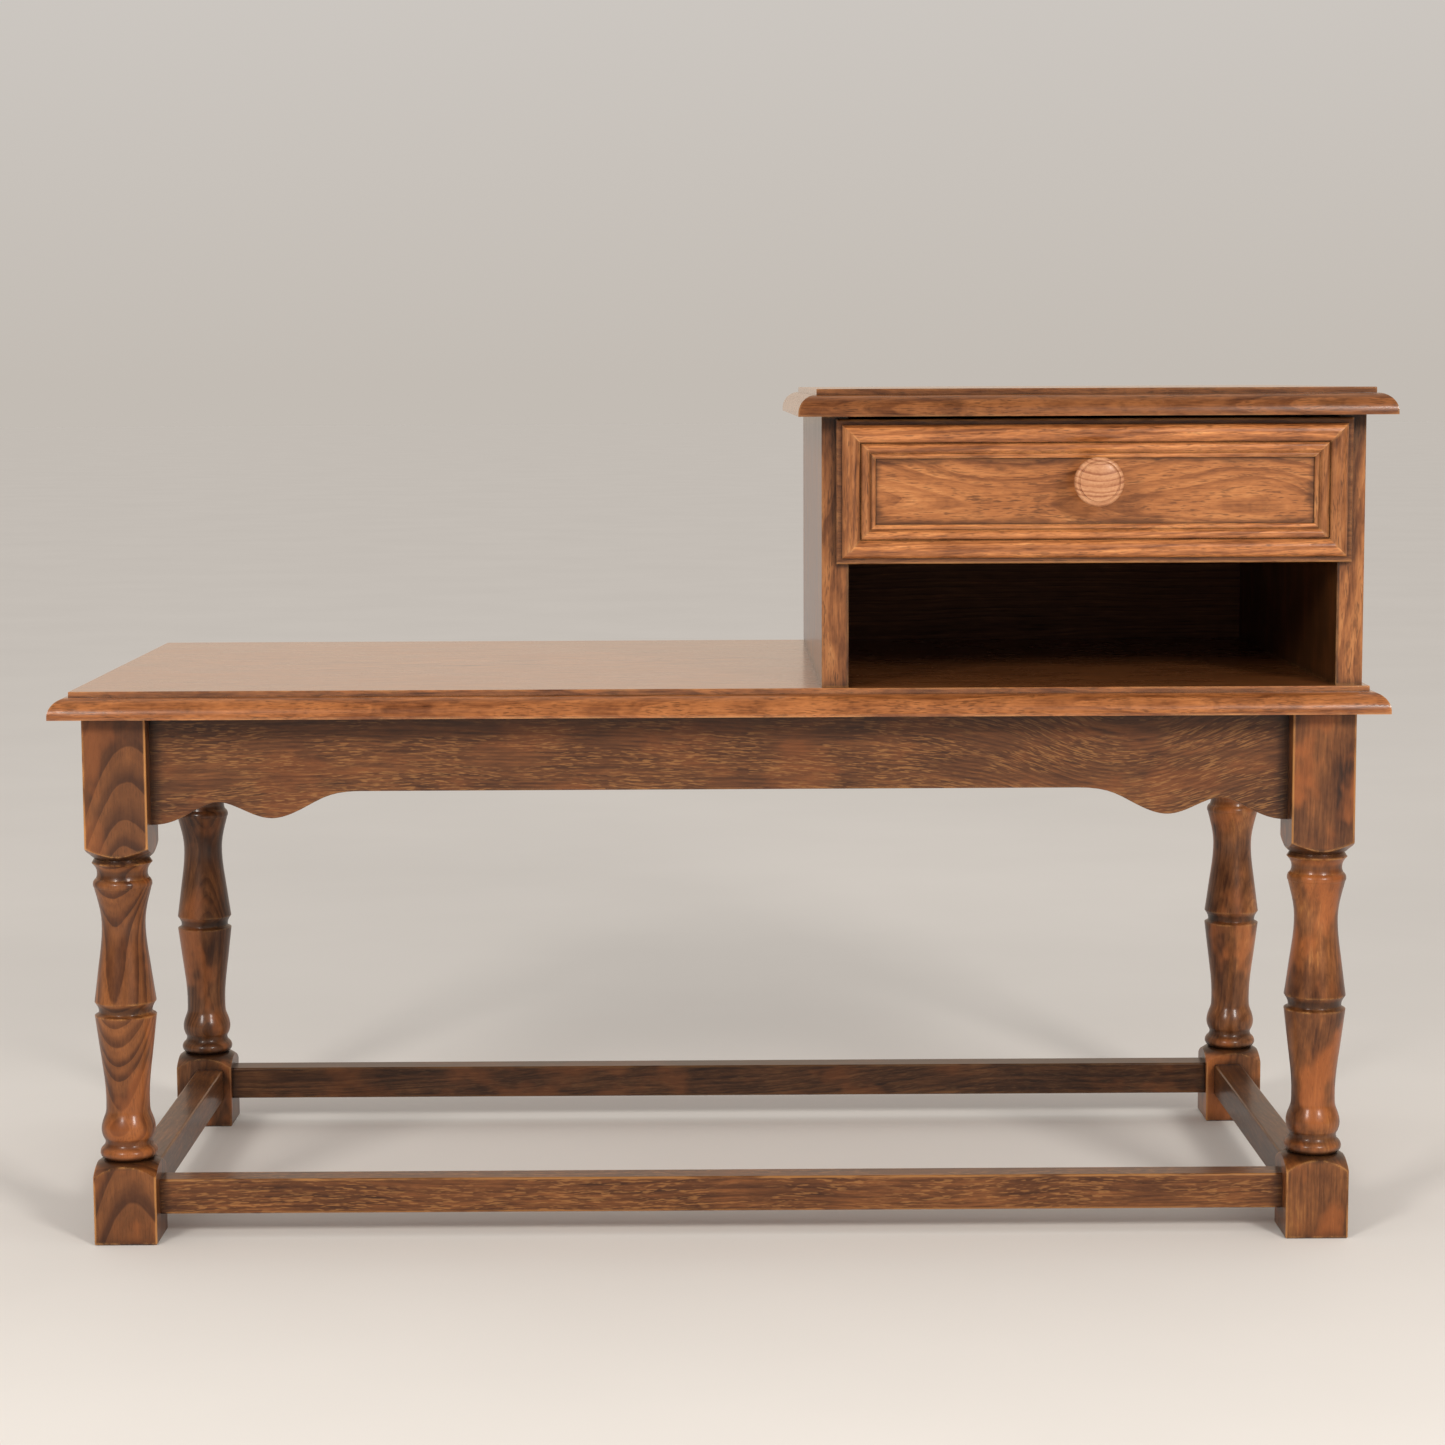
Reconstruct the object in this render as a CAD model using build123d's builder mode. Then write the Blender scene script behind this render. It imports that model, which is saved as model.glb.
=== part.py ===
from build123d import *
import os

# Entryway bench: a long low seat board on a turned and stretchered base, with a one-drawer cabinet
# standing on its right-hand end.  Millimetres, +Z up, +X to the right, the front faces -Y.
# The origin is on the floor, under the middle of the overall box.

os.makedirs("parts", exist_ok=True)

# ------------------------------------------------------------------ overall
base_length = 900.0          # over the outside faces of the legs, along X
base_depth = 406.0           # over the outside faces of the legs, along Y
seat_height = 400.0          # floor to the top of the seat board

# ------------------------------------------------------------------ clearances
glue_gap = 0.05              # round a tenon, dowel, pin or screw in its hole
end_gap = 1.0                # between the end of a tenon or dowel and the bottom of its hole
panel_gap = 0.5              # round a loose panel in its groove or rebate
drawer_side_gap = 1.0        # between the drawer box and each side of the cabinet
drawer_under_gap = 0.5       # between the drawer box and the shelf it slides on
drawer_over_gap = 3.0        # between the drawer box and the cabinet top
drawer_front_gap = 0.2       # between the drawer front and the cabinet's front edges

# ------------------------------------------------------------------ seat and top boards
seat_thickness = 19.0
seat_overhang = 20.0         # past the legs at the front and at both ends; the back is flush
moulding_inset = 13.0        # from a board's tip back to its raised top surface
quirk_depth = 4.0            # upright step below the top surface
moulding_flat = 2.0          # upright flat under the quarter-round
top_arris = 0.6              # rounding of the raised surface's edge

# ------------------------------------------------------------------ legs
leg_section = 45.0           # square blocks at the top and foot
leg_arris = 1.0
foot_chamfer = 1.0
foot_height = 57.0           # floor to the top of the foot, in the middle of each face
top_block_height = 100.0     # upper block, in the middle of each face
shoulder_drop = 8.3          # how much further the lathe cuts the corners of the top block
foot_shoulder_drop = 10.0    # the same at the foot
# Turned shaft, as (height, depth cut below the faces of the square blank) pairs.  The lower ones
# are measured up from the foot, the upper ones down from the block.
lower_neck = (2.6, 5.4)
lower_bead = (8.7, 2.2)
lower_bead_top = (12.0, 4.6)
lower_cove = (14.6, 5.8)
lower_rim = (18.4, 4.5)
lower_bulge = (24.8, 3.2)
lower_flare = (33.6, 5.5)
lower_waist = (46.0, 7.0)
upper_neck = (2.6, 3.1)
upper_ring = (6.0, 1.0)
upper_cove = (13.8, 4.6)
upper_bead_top = (17.4, 3.7)
upper_bead = (21.6, 1.5)
upper_body = (23.6, 2.1)
upper_waist = (51.0, 7.0)
# The long tapers dip this far inside a straight line, halfway along.
taper_hollow = 0.55
# Groove near the middle of the shaft, between a rounded shoulder below and a sharp one above.
middle_shoulder_cut = 0.5
middle_groove_cut = 3.5
middle_groove_drop = 1.7     # the groove's floor is below the middle of the shaft
middle_groove_below = 4.6    # from the middle down to the lower shoulder
middle_groove_above = 5.4    # and up to the upper one

# ------------------------------------------------------------------ aprons
apron_thickness = 19.0
apron_setback = 17.0         # behind the outer faces of the legs
plain_apron_depth = 60.0     # rear and side aprons
apron_arris = 0.8
# Lower edge of the front apron, from each leg towards the middle, where it runs straight:
# (distance from the leg, depth below the seat board).
apron_end = (0.0, 79.0)
apron_rise = (27.0, 71.0)
apron_hump = (47.5, 63.0)
apron_fall = (66.0, 68.8)
apron_lobe = (86.0, 74.6)
apron_sweep = (112.0, 65.4)
apron_straight = (150.0, 55.4)

# ------------------------------------------------------------------ stretchers
stretcher_height = 25.5
stretcher_thickness = 22.0
stretcher_inner_setback = 6.5     # its inner face, from the inner faces of the legs
front_stretcher_lift = 18.5  # floor to the underside
other_stretcher_lift = 22.5
stretcher_arris = 1.5

# ------------------------------------------------------------------ tenons
apron_tenon_thickness = 9.0
apron_tenon_inset = 9.0      # shoulder above and below an apron's tenon
stretcher_tenon_thickness = 10.0
stretcher_tenon_inset = 4.0

# ------------------------------------------------------------------ corner blocks
corner_block_width = 40.0    # face glued to each apron
corner_block_height = 30.0
leg_to_block_gap = 1.0
corner_screw_inset = 18.0    # from the end of the block nearest the leg
corner_screw_bite = 14.0     # into the apron
corner_screw_length = 30.0
seat_screw_bite = 13.0       # into the seat board

# ------------------------------------------------------------------ screws, dowels and pins
screw_radius = 2.0
screw_head_radius = 4.0
screw_head_height = 2.4
screw_slot_width = 1.0
screw_slot_depth = 1.1
counterbore_radius = 5.0
pin_radius = 0.7
pin_head_radius = 1.4
pin_head_height = 0.6
dowel_radius = 4.0
dowel_length = 30.0
dowel_in_top = 11.0

# ------------------------------------------------------------------ cabinet
board_thickness = 19.0       # sides and top
cabinet_width = 381.0        # over its sides
cabinet_height = 190.0       # seat board to the underside of the top
top_side_overhang = 17.0     # the right-hand one ends above the seat board's right-hand tip
top_front_overhang = 26.5
side_arris = 0.8
back_thickness = 5.0
back_rebate = 8.0            # how far the back panel laps each side
shelf_thickness = 15.0
shelf_groove = 5.0           # depth of the grooves that hold the shelf
shelf_lift = 2.0              # its underside above the lower edge of the drawer front
shelf_setback = 2.0           # its front edge behind the front edges of the sides
cabinet_screw_length = 45.0
cabinet_screw_inset = 100.0  # from the front and back edges of the sides
cabinet_dowel_inset = 55.0
pin_length = 16.0
pin_inset = 20.0
pins_per_side = 4

# ------------------------------------------------------------------ drawer front
front_top_gap = 2.0          # below the cabinet top
front_height = 101.0
front_side_margin = 10.0     # cabinet side edge left showing at each end
front_board_thickness = 7.0
front_board_round = 1.6
lip_width = 4.0              # edge of the front board outside the mouldings
moulding_width = 23.5
moulding_thickness = 5.0
# Section of the mouldings, as (distance from the outer edge, height) pairs.
band_foot_height = 1.4
band_crown = (4.2, 5.0)
band_edge = (12.0, 3.0)
bead_foot = (12.8, 2.0)
bead_crown = (16.0, 3.6)
bead_edge = (19.2, 2.0)
fillet_foot = (19.9, 1.5)
fillet_crown = (21.6, 2.3)
inner_edge_height = 1.2

# ------------------------------------------------------------------ drawer box
box_board_thickness = 12.0
box_rear_gap = 26.0          # behind the closed drawer
box_bottom_thickness = 4.0
box_bottom_lift = 6.0        # groove above the lower edge
box_groove_depth = 5.0
front_screw_cover = 2.0      # wood left in front of the tips
front_screw_spacing_x = 240.0
front_screw_spacing_z = 40.0
box_pin_length = 26.0
box_pin_spacing = 44.0

# ------------------------------------------------------------------ knob
knob_length = 28.0
knob_radius = 17.2
knob_neck_radius = 7.5
knob_base_radius = 9.5
knob_lift = 7.0              # above the middle of the drawer front
knob_dome = 1.8              # how much the face is crowned
knob_groove_radius = 14.0
knob_groove_half = 0.7
knob_groove_depth = 0.6
knob_groove_outer_rise = 0.2   # edges of the groove above the flat part of the face
knob_groove_inner_rise = 0.3
knob_base_height = 1.5
knob_neck_height = 7.0
knob_shoulder_height = 18.5
knob_shoulder_cut = 1.2      # the shoulder's radius is this much less than the knob's
knob_rim_depth = 2.0
knob_rim_cut = 0.6
knob_rim_rise = 1.4
knob_screw_bite = 14.0

# ------------------------------------------------------------------ derived places
front_reach = drawer_front_gap + front_board_thickness + knob_length
leg_front = (front_reach - base_depth) / 2
leg_rear = leg_front + base_depth
leg_right = base_length / 2
seat_under = seat_height - seat_thickness
block_bottom = seat_under - top_block_height
seat_tip = leg_right + seat_overhang

span_x = base_length - 2 * leg_section
span_y = base_depth - 2 * leg_section
stretcher_setback = leg_section - stretcher_thickness - stretcher_inner_setback
apron_inset = apron_setback + apron_thickness
# Measured along an apron, from the corner where the inner faces of two aprons would meet.
corner_block_start = 2 * (leg_section - apron_inset + leg_to_block_gap)
corner_block_end = corner_block_start + corner_block_width
corner_screw_offset = corner_block_start + corner_screw_inset
seat_screw_offset = (corner_block_start + corner_block_end) / 4

cabinet_right = seat_tip - top_side_overhang
cabinet_left = cabinet_right - cabinet_width
cabinet_middle = (cabinet_left + cabinet_right) / 2
cabinet_top_under = seat_height + cabinet_height
back_face = leg_rear - back_thickness
inner_left = cabinet_left + board_thickness
inner_right = cabinet_right - board_thickness

front_top = cabinet_top_under - front_top_gap
front_bottom = front_top - front_height
front_middle = (front_top + front_bottom) / 2
front_width = cabinet_width - 2 * front_side_margin
front_back_face = leg_front - drawer_front_gap
front_board_face = front_back_face - front_board_thickness
shelf_under = front_bottom + shelf_lift
shelf_top = shelf_under + shelf_thickness

box_left = inner_left + drawer_side_gap
box_right = inner_right - drawer_side_gap
box_under = shelf_top + drawer_under_gap
box_top = cabinet_top_under - drawer_over_gap
box_rear = back_face - box_rear_gap
box_height = box_top - box_under
box_middle = (box_top + box_under) / 2
front_screw_length = box_board_thickness + front_board_thickness - front_screw_cover

to_front = (0, -1, 0)
to_rear = (0, 1, 0)
to_left = (-1, 0, 0)
to_right = (1, 0, 0)
upwards = (0, 0, 1)
downwards = (0, 0, -1)


# ------------------------------------------------------------------ common pieces
def write(piece, name):
    """Label one finished piece and write it as its own STEP file."""
    piece.label = name
    export_step(piece, f"parts/{name}.step")


def add_board(x_low, x_high, y_low, y_high, z_low, z_high, mode=Mode.ADD):
    """A square-edged board between two corners, in the current part."""
    with Locations(((x_low + x_high) / 2, (y_low + y_high) / 2, (z_low + z_high) / 2)):
        Box(x_high - x_low, y_high - y_low, z_high - z_low, mode=mode)


def add_screws(places, length):
    """Round-headed slotted screws; each place's origin is under the head, its z runs down the shank."""
    with Locations(*places):
        Cylinder(screw_radius, length, align=(Align.CENTER, Align.CENTER, Align.MIN))
        Cylinder(screw_head_radius, screw_head_height,
                 align=(Align.CENTER, Align.CENTER, Align.MAX))
    slots = [place.offset(-screw_head_height) for place in places]
    with Locations(*slots):
        Box(2 * screw_head_radius, screw_slot_width, screw_slot_depth,
            align=(Align.CENTER, Align.CENTER, Align.MIN), mode=Mode.SUBTRACT)


def cut_screw_holes(places, length, counterbore_depth=0.0):
    """Holes for add_screws, with room for the heads where the board is thicker than the grip."""
    with Locations(*places):
        Cylinder(screw_radius + glue_gap, length + end_gap,
                 align=(Align.CENTER, Align.CENTER, Align.MIN), mode=Mode.SUBTRACT)
        if counterbore_depth > 0:
            Cylinder(counterbore_radius, counterbore_depth,
                     align=(Align.CENTER, Align.CENTER, Align.MAX), mode=Mode.SUBTRACT)


def add_pins(places, length):
    """Flat-headed panel pins; each place's origin is under the head."""
    with Locations(*places):
        Cylinder(pin_radius, length, align=(Align.CENTER, Align.CENTER, Align.MIN))
        Cylinder(pin_head_radius, pin_head_height,
                 align=(Align.CENTER, Align.CENTER, Align.MAX))


def cut_pin_holes(places, length):
    """Holes for add_pins, with shallow seats that let the heads lie flush."""
    with Locations(*places):
        Cylinder(pin_radius + glue_gap, length + end_gap,
                 align=(Align.CENTER, Align.CENTER, Align.MIN), mode=Mode.SUBTRACT)
        Cylinder(pin_head_radius + glue_gap, pin_head_height,
                 align=(Align.CENTER, Align.CENTER, Align.MAX), mode=Mode.SUBTRACT)


# ------------------------------------------------------------------ rails between the legs
def rail_plane(side, setback):
    """The outer face of a rail: x to the right seen from outside, y up, z outwards."""
    if side == "front":
        return Plane(origin=(0, leg_front + setback, 0), x_dir=to_right, z_dir=to_front)
    if side == "rear":
        return Plane(origin=(0, leg_rear - setback, 0), x_dir=to_left, z_dir=to_rear)
    middle = (leg_front + leg_rear) / 2
    if side == "left":
        return Plane(origin=(setback - leg_right, middle, 0), x_dir=to_front, z_dir=to_left)
    return Plane(origin=(leg_right - setback, middle, 0), x_dir=to_rear, z_dir=to_right)


def rail_span(side):
    return span_x if side in ("front", "rear") else span_y


def apron_depth_at_leg(side):
    return apron_end[1] if side == "front" else plain_apron_depth


def stretcher_lift(side):
    return front_stretcher_lift if side == "front" else other_stretcher_lift


def cut_or_add_tenons(side, setback, thickness, tenon_thickness, z_low, z_high, mortise):
    """Tenons at both ends of a rail, or with mortise=True the slightly larger holes for them."""
    gap = glue_gap if mortise else 0.0
    reach = leg_section - setback - (thickness + tenon_thickness) / 2 - 2 * end_gap
    length = reach + end_gap if mortise else reach
    cheek = rail_plane(side, setback + (thickness - tenon_thickness) / 2 - gap)
    with BuildSketch(cheek) as cheeks:
        for end in (-1, 1):
            with Locations((end * (rail_span(side) + length) / 2, (z_low + z_high) / 2)):
                Rectangle(length, z_high - z_low + 2 * gap)
    extrude(cheeks.sketch, amount=-(tenon_thickness + 2 * gap),
            mode=Mode.SUBTRACT if mortise else Mode.ADD)


def apron_tenons(side, mortise):
    cut_or_add_tenons(side, apron_setback, apron_thickness, apron_tenon_thickness,
                      seat_under - apron_depth_at_leg(side) + apron_tenon_inset,
                      seat_under - apron_tenon_inset, mortise)


def stretcher_tenons(side, mortise):
    lift = stretcher_lift(side)
    cut_or_add_tenons(side, stretcher_setback, stretcher_thickness, stretcher_tenon_thickness,
                      lift + stretcher_tenon_inset,
                      lift + stretcher_height - stretcher_tenon_inset, mortise)


# ------------------------------------------------------------------ places of screws and dowels
def corner_signs():
    return [("front_left", -1, -1), ("front_right", 1, -1),
            ("rear_left", -1, 1), ("rear_right", 1, 1)]


def apron_corner(x_sign, y_sign):
    """Where the inner faces of two aprons would meet."""
    y_outer = leg_front if y_sign < 0 else leg_rear
    return x_sign * (leg_right - apron_inset), y_outer - y_sign * apron_inset


def corner_screw_places(x_sign, y_sign):
    """One screw into each apron; the origin is under the head."""
    x, y = apron_corner(x_sign, y_sign)
    grip = corner_screw_length - corner_screw_bite
    z = seat_under - corner_block_height / 2
    return [Plane(origin=(x - x_sign * corner_screw_offset, y - y_sign * grip, z),
                  x_dir=to_right, z_dir=(0, y_sign, 0)),
            Plane(origin=(x - x_sign * grip, y - y_sign * corner_screw_offset, z),
                  x_dir=to_rear, z_dir=(x_sign, 0, 0))]


def seat_screw_place(x_sign, y_sign):
    x, y = apron_corner(x_sign, y_sign)
    return Plane(origin=(x - x_sign * seat_screw_offset, y - y_sign * seat_screw_offset,
                         seat_under - corner_block_height), x_dir=to_right, z_dir=upwards)


def side_middle(right):
    """X of the middle of a cabinet side's thickness."""
    inset = board_thickness / 2
    return cabinet_right - inset if right else cabinet_left + inset


def cabinet_screw_places():
    rows = (leg_front + cabinet_screw_inset, leg_rear - cabinet_screw_inset)
    return [Plane(origin=(side_middle(right), y, seat_under), x_dir=to_right, z_dir=upwards)
            for right in (False, True) for y in rows]


def cabinet_dowel_places():
    """Origins at the blind ends in the top board; z runs down."""
    rows = (leg_front + cabinet_dowel_inset, (leg_front + leg_rear) / 2,
            leg_rear - cabinet_dowel_inset)
    return [Plane(origin=(side_middle(right), y, cabinet_top_under + dowel_in_top),
                  x_dir=to_right, z_dir=downwards)
            for right in (False, True) for y in rows]


def back_pin_places():
    first = seat_height + pin_inset
    step = (cabinet_height - 2 * pin_inset) / (pins_per_side - 1)
    lap_middle = board_thickness - back_rebate / 2
    y = leg_rear - pin_head_height
    return [Plane(origin=(x, y, first + step * number), x_dir=to_right, z_dir=to_front)
            for x in (cabinet_left + lap_middle, cabinet_right - lap_middle)
            for number in range(pins_per_side)]


def front_screw_places():
    y = front_back_face + box_board_thickness
    return [Plane(origin=(cabinet_middle + x * front_screw_spacing_x / 2, y,
                          box_middle + z * front_screw_spacing_z / 2),
                  x_dir=to_right, z_dir=to_front)
            for x in (-1, 1) for z in (-1, 1)]


def knob_screw_place():
    return Plane(origin=(cabinet_middle, front_back_face + box_board_thickness,
                         front_middle + knob_lift), x_dir=to_right, z_dir=to_front)


def box_pin_places():
    """Pins through the inner front into the box sides, and through the sides into the back."""
    places = []
    half = box_board_thickness / 2
    for z in (box_middle - box_pin_spacing / 2, box_middle + box_pin_spacing / 2):
        for x in (box_left + half, box_right - half):
            places.append(Plane(origin=(x, front_back_face + pin_head_height, z),
                                x_dir=to_right, z_dir=to_rear))
        y = box_rear - half
        places.append(Plane(origin=(box_left + pin_head_height, y, z),
                            x_dir=to_rear, z_dir=to_right))
        places.append(Plane(origin=(box_right - pin_head_height, y, z),
                            x_dir=to_rear, z_dir=to_left))
    return places


# ------------------------------------------------------------------ legs
def draw_turning():
    """Half outline of a leg on the lathe, radius along x and height along y.

    Outside the two square blocks the outline stands clear of their corners, so cutting the
    square leg back to it leaves the blocks whole and rounds only their shoulders.
    """
    corner = leg_section / 2 * 2 ** 0.5 + leg_arris
    face = leg_section / 2
    foot = foot_height
    block = block_bottom
    middle = (foot + block) / 2

    def above_foot(pair):
        return face - pair[1], foot + pair[0]

    def below_block(pair):
        return face - pair[1], block - pair[0]

    def taper_middle(start, end):
        return (start[0] + end[0]) / 2 - taper_hollow, (start[1] + end[1]) / 2

    groove_low = (face - middle_shoulder_cut, middle - middle_groove_below)
    groove_high = (face - middle_shoulder_cut, middle + middle_groove_above)
    groove_floor = (face - middle_groove_cut, middle - middle_groove_drop)
    lower_narrow = above_foot(lower_waist)
    upper_narrow = below_block(upper_waist)
    # Foot: rounded shoulder, then the undercut neck, bead and cove up to the sharp rim.
    Polyline((0, 0), (corner, 0), (corner, foot - foot_shoulder_drop))
    Spline((corner, foot - foot_shoulder_drop), (face, foot), above_foot(lower_neck),
           tangents=((-0.6, 1), (-1, 0.15)))
    Spline(above_foot(lower_neck), above_foot(lower_bead), above_foot(lower_bead_top),
           tangents=((1, 0.5), (-1, 0.8)))
    Spline(above_foot(lower_bead_top), above_foot(lower_cove), above_foot(lower_rim),
           tangents=((-0.8, 1), (0.7, 1)))
    # Bulge, waist and the long taper up to the groove.
    Spline(above_foot(lower_rim), above_foot(lower_bulge), above_foot(lower_flare),
           lower_narrow, tangents=((0.4, 1), (0, 1)))
    Spline(lower_narrow, taper_middle(lower_narrow, groove_low), groove_low,
           tangents=((0, 1), (0.12, 1)))
    Spline(groove_low, groove_floor, tangents=((-0.9, 1), (0, 1)))
    Spline(groove_floor, groove_high, tangents=((0, 1), (0.6, 1)))
    # Taper, waist and body up to the bead.
    Spline(groove_high, taper_middle(groove_high, upper_narrow), upper_narrow,
           tangents=((-0.15, 1), (0, 1)))
    Spline(upper_narrow, below_block(upper_body), tangents=((0, 1), (0.24, 1)))
    Spline(below_block(upper_body), below_block(upper_bead), below_block(upper_bead_top),
           tangents=((0.9, 1), (-1, 0.7)))
    # Cove, sharp ring, undercut neck and the rounded shoulder of the block.
    Spline(below_block(upper_bead_top), below_block(upper_cove), below_block(upper_ring),
           tangents=((-0.5, 1), (1, 0.9)))
    Line(below_block(upper_ring), below_block(upper_neck))
    Spline(below_block(upper_neck), (face, block), (corner, block + shoulder_drop),
           tangents=((1, 0.5), (0.6, 1)))
    Polyline((corner, block + shoulder_drop), (corner, seat_under), (0, seat_under), (0, 0))


def make_leg(place, x_sign, y_sign):
    """One leg: a square blank turned between its blocks, then mortised on its two inner faces."""
    x = x_sign * (leg_right - leg_section / 2)
    y = leg_front + leg_section / 2 if y_sign < 0 else leg_rear - leg_section / 2
    with BuildPart() as leg:
        with BuildSketch(Plane(origin=(x, y, 0))):
            RectangleRounded(leg_section, leg_section, leg_arris)
        extrude(amount=seat_under)
        chamfer(leg.faces().sort_by(Axis.Z)[0].edges(), foot_chamfer)
        with BuildSketch(Plane(origin=(x, y, 0), x_dir=to_right, z_dir=to_front)):
            with BuildLine():
                draw_turning()
            make_face()
        revolve(axis=Axis((x, y, 0), upwards), mode=Mode.INTERSECT)
        for side in ("left" if x_sign < 0 else "right", "front" if y_sign < 0 else "rear"):
            apron_tenons(side, mortise=True)
            stretcher_tenons(side, mortise=True)
    write(leg.part, f"{place}_leg")


for leg_place, leg_x, leg_y in corner_signs():
    make_leg(leg_place, leg_x, leg_y)


# ------------------------------------------------------------------ aprons
def draw_shaped_edge(end):
    """One end of the front apron's lower edge; end is -1 on the left and 1 on the right."""
    outline = [apron_end, apron_rise, apron_hump, apron_fall, apron_lobe, apron_sweep,
               apron_straight]
    points = [(end * (span_x / 2 - along), seat_under - depth) for along, depth in outline]
    Spline(*points, tangents=((-end, 0), (-end, 0)))


def make_apron(side):
    half = rail_span(side) / 2
    low = seat_under - plain_apron_depth
    with BuildPart() as apron:
        with BuildSketch(rail_plane(side, apron_setback)):
            with BuildLine():
                if side == "front":
                    middle = span_x / 2 - apron_straight[0]
                    level = seat_under - apron_straight[1]
                    draw_shaped_edge(-1)
                    Line((-middle, level), (middle, level))
                    draw_shaped_edge(1)
                    Polyline((half, seat_under - apron_end[1]), (half, seat_under),
                             (-half, seat_under), (-half, seat_under - apron_end[1]))
                else:
                    Polyline((-half, low), (half, low), (half, seat_under),
                             (-half, seat_under), close=True)
            make_face()
        extrude(amount=-apron_thickness)
        outward = rail_plane(side, 0).z_dir
        under = seat_under - corner_block_height
        outer_face = apron.faces().filter_by(Axis((0, 0, 0), outward)).sort_by(
            Axis((0, 0, 0), outward))[-1]
        lower_edges = [edge for edge in outer_face.edges() if edge.center().Z < under]
        fillet([edge for edge in lower_edges
                if edge.bounding_box().size.Z < apron_end[1] / 2], apron_arris)
        apron_tenons(side, mortise=False)
        for _, x_sign, y_sign in corner_signs():
            cut_screw_holes(corner_screw_places(x_sign, y_sign), corner_screw_length)
    write(apron.part, f"{side}_apron")


# ------------------------------------------------------------------ stretchers
def make_stretcher(side):
    lift = stretcher_lift(side)
    half = rail_span(side) / 2
    along = Axis((0, 0, 0), rail_plane(side, 0).x_dir)
    with BuildPart() as stretcher:
        with BuildSketch(rail_plane(side, stretcher_setback)):
            with Locations((0, lift + stretcher_height / 2)):
                Rectangle(2 * half, stretcher_height)
        extrude(amount=-stretcher_thickness)
        fillet(stretcher.edges().filter_by(along), stretcher_arris)
        stretcher_tenons(side, mortise=False)
    write(stretcher.part, f"{side}_stretcher")


for rail_side in ("front", "rear", "left", "right"):
    make_apron(rail_side)
    make_stretcher(rail_side)


# ------------------------------------------------------------------ corner blocks
def make_corner_block(place, x_sign, y_sign):
    """A flat block across the corner, cut off short of the leg, with its three screw holes."""
    x, y = apron_corner(x_sign, y_sign)
    start = corner_block_start
    end = corner_block_end
    outline = [(start, 0), (end, 0), (0, end), (0, start)]
    with BuildPart() as block:
        with BuildSketch(Plane.XY.offset(seat_under - corner_block_height)):
            with BuildLine():
                Polyline([(x - x_sign * u, y - y_sign * v) for u, v in outline], close=True)
            make_face()
        extrude(amount=corner_block_height)
        cut_screw_holes(corner_screw_places(x_sign, y_sign), corner_screw_length,
                        counterbore_depth=end)
        cut_screw_holes([seat_screw_place(x_sign, y_sign)], corner_block_height)
    write(block.part, f"corner_block_{place}")


for block_place, block_x, block_y in corner_signs():
    make_corner_block(block_place, block_x, block_y)

with BuildPart() as corner_block_screws:
    for _, screw_x, screw_y in corner_signs():
        add_screws(corner_screw_places(screw_x, screw_y), corner_screw_length)
write(corner_block_screws.part, "corner_block_screws")

seat_screw_places = [seat_screw_place(sx, sy) for _, sx, sy in corner_signs()]
seat_screw_length = corner_block_height + seat_screw_bite
with BuildPart() as seat_screws:
    add_screws(seat_screw_places, seat_screw_length)
write(seat_screws.part, "seat_screws")


# ------------------------------------------------------------------ moulded boards
def draw_board_section(low, high, z_under, thickness, both_ends):
    """Section of a board with a quirk and a quarter-round at its low end, or at both ends."""
    top = z_under + thickness
    round_height = thickness - quirk_depth - moulding_flat
    shoulder = top - quirk_depth
    flat_top = z_under + moulding_flat
    Line((low, z_under), (low, flat_top))
    EllipticalCenterArc((low + moulding_inset, flat_top), moulding_inset, round_height,
                        start_angle=90, arc_size=90)
    Line((low + moulding_inset, shoulder), (low + moulding_inset, top))
    if both_ends:
        Line((low + moulding_inset, top), (high - moulding_inset, top))
        Line((high - moulding_inset, top), (high - moulding_inset, shoulder))
        EllipticalCenterArc((high - moulding_inset, flat_top), moulding_inset,
                            round_height, start_angle=0, arc_size=90)
        Line((high, flat_top), (high, z_under))
    else:
        Polyline((low + moulding_inset, top), (high, top), (high, z_under))
    Line((high, z_under), (low, z_under))


def add_moulded_board(board, x_low, x_high, y_low, y_high, z_under, thickness):
    """A board moulded on its front and both ends, mitred at the corners, square at the back."""
    with BuildSketch(Plane(origin=(0, y_low, 0), x_dir=to_right, z_dir=to_front)) as across:
        with BuildLine():
            draw_board_section(x_low, x_high, z_under, thickness, both_ends=True)
        make_face()
    extrude(across.sketch, amount=-(y_high - y_low))
    with BuildSketch(Plane(origin=(x_low, 0, 0), x_dir=to_rear, z_dir=to_right)) as along:
        with BuildLine():
            draw_board_section(y_low, y_high, z_under, thickness, both_ends=False)
        make_face()
    extrude(along.sketch, amount=x_high - x_low, mode=Mode.INTERSECT)
    fillet(board.faces().sort_by(Axis.Z)[-1].edges(), top_arris)


with BuildPart() as seat_board:
    add_moulded_board(seat_board, -seat_tip, seat_tip, leg_front - seat_overhang, leg_rear,
                      seat_under, seat_thickness)
    cut_screw_holes([place.offset(corner_block_height) for place in seat_screw_places],
                    seat_screw_bite)
    cut_screw_holes(cabinet_screw_places(), cabinet_screw_length)
write(seat_board.part, "seat_board")

with BuildPart() as cabinet_top:
    add_moulded_board(cabinet_top, cabinet_left - top_side_overhang,
                      cabinet_right + top_side_overhang, leg_front - top_front_overhang,
                      leg_rear, cabinet_top_under, board_thickness)
    with Locations(*cabinet_dowel_places()):
        Cylinder(dowel_radius + glue_gap, dowel_length,
                 align=(Align.CENTER, Align.CENTER, Align.MIN), mode=Mode.SUBTRACT)
write(cabinet_top.part, "cabinet_top")


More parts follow.
